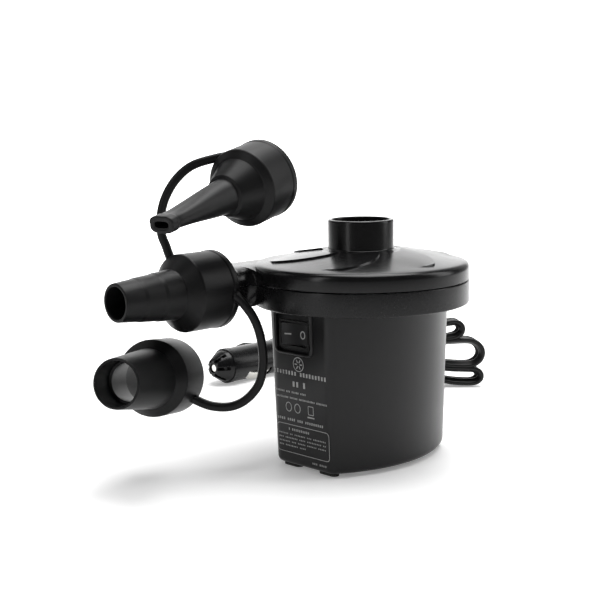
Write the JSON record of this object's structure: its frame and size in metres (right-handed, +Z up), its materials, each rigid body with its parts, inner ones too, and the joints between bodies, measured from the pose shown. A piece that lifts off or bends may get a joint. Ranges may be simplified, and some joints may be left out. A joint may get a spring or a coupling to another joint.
{
  "type": "electric air mattress pump",
  "caption": "Car-socket inflator: round fan head with inlet collar and side outlet on a barrel-shaped motor body, rocker switch, push-on nozzles on straps, and a flat lead with a plug.",
  "frame": {"origin": "on the motor axis, in the plane that the feet stand on", "axes": "+Z up along the motor axis, out of the inlet collar; the switch and the outlet face -Y; +X is to the right when the switch is looked at"},
  "size_m": [0.2195, 0.2947, 0.1469],
  "materials": {
    "shell_top": "satin black ABS, softly glossy on top",
    "shell_band": "fine satin black ABS",
    "shell_body": "fine satin black ABS",
    "foot_rubber": "matt black rubber",
    "steel": "plain zinc-plated steel",
    "magnet": "dark ferrite",
    "motor_plastic": "natural nylon",
    "brass": "plain brass",
    "carbon": "carbon brush",
    "bronze": "sintered bronze",
    "lamination": "stacked steel sheet",
    "copper": "enamelled copper",
    "fan_plastic": "white moulded plastic",
    "switch_plastic": "black nylon",
    "rocker_plastic": "dark grey-black nylon",
    "nozzle_vinyl": "soft satin black vinyl",
    "red_lead": "red insulation",
    "black_lead": "black insulation",
    "cord_vinyl": "black flexible vinyl",
    "tie_plastic": "black tie",
    "plug_plastic": "satin black plastic",
    "nickel": "bright nickel plate",
    "fuse_glass": "clear glass"
  },
  "bodies": {
    "housing": {"head_cover": "shell_top", "head_base": "shell_band", "inlet_grille": "shell_band", "head_screws": "steel", "body_shell": "shell_body", "base_plate": "shell_body", "feet": "foot_rubber", "base_screws": "steel", "body_screws": "steel", "motor_can": "steel", "motor_magnets": "magnet", "motor_end_cap": "motor_plastic", "motor_terminals": "brass", "motor_brushes": "carbon", "front_bearing": "bronze", "rear_bearing": "bronze", "motor_screws": "steel", "switch_housing": "switch_plastic", "switch_terminals": "brass", "inner_lead_switch": "red_lead", "inner_lead_motor": "black_lead", "lead_clamp": "motor_plastic", "lead_grommet": "cord_vinyl", "cord_lead": "cord_vinyl", "cord_hank": "cord_vinyl", "cord_tie": "tie_plastic", "cord_tail": "cord_vinyl", "plug_barrel": "plug_plastic", "plug_nose_cap": "plug_plastic", "plug_pin_spring": "steel", "plug_knurled_ring": "plug_plastic", "plug_grip": "plug_plastic", "plug_strain_relief": "cord_vinyl"},
    "rotor": {"motor_shaft": "steel", "armature_core": "lamination", "armature_windings": "copper", "commutator": "copper", "fan_wheel": "fan_plastic"},
    "rocker": {"switch_rocker": "rocker_plastic"},
    "middle_nozzle": {"nozzle_middle": "nozzle_vinyl"},
    "upper_nozzle": {"nozzle_upper": "nozzle_vinyl", "strap_upper": "nozzle_vinyl"},
    "lower_nozzle": {"nozzle_lower": "nozzle_vinyl", "strap_lower": "nozzle_vinyl"},
    "plug_pin": {"plug_centre_pin": "nickel", "plug_fuse": "fuse_glass"},
    "left_contact": {"plug_contact_left": "nickel"},
    "right_contact": {"plug_contact_right": "nickel"}
  },
  "joints": [
    {"name": "fan_spin", "type": "hinge", "parent": "housing", "child": "rotor", "pos_m": [0, 0, 0.05], "axis": [0, 0, 1], "continuous": true},
    {"name": "rocker_tilt", "type": "hinge", "parent": "housing", "child": "rocker", "pos_m": [-0.0033, -0.03707, 0.062], "axis": [0, 0, -1], "range_deg": [0, 20]},
    {"name": "nozzle_pull", "type": "slide", "parent": "housing", "child": "middle_nozzle", "axis": [0, -1, 0], "range_m": [0, 0.022]},
    {"name": "upper_strap_flex", "type": "hinge", "parent": "middle_nozzle", "child": "upper_nozzle", "pos_m": [-0.0462, -0.0748, 0.0998], "axis": [-0.676, 0.7369, 0], "range_deg": [-12, 12], "stiffness_Nm_per_rad": 0.3},
    {"name": "lower_strap_flex", "type": "hinge", "parent": "middle_nozzle", "child": "lower_nozzle", "pos_m": [-0.0176, -0.0571, 0.0766], "axis": [-0.676, 0.7369, 0], "range_deg": [-12, 12], "stiffness_Nm_per_rad": 0.3},
    {"name": "plug_pin_press", "type": "slide", "parent": "housing", "child": "plug_pin", "axis": [0, 1, 0], "range_m": [0, 0.003], "stiffness_N_per_m": 800},
    {"name": "left_contact_press", "type": "slide", "parent": "housing", "child": "left_contact", "axis": [0.7071, 0, -0.7071], "range_m": [0, 0.0013], "stiffness_N_per_m": 1500},
    {"name": "right_contact_press", "type": "slide", "parent": "housing", "child": "right_contact", "axis": [-0.7071, 0, 0.7071], "range_m": [0, 0.0013], "stiffness_N_per_m": 1500}
  ]
}
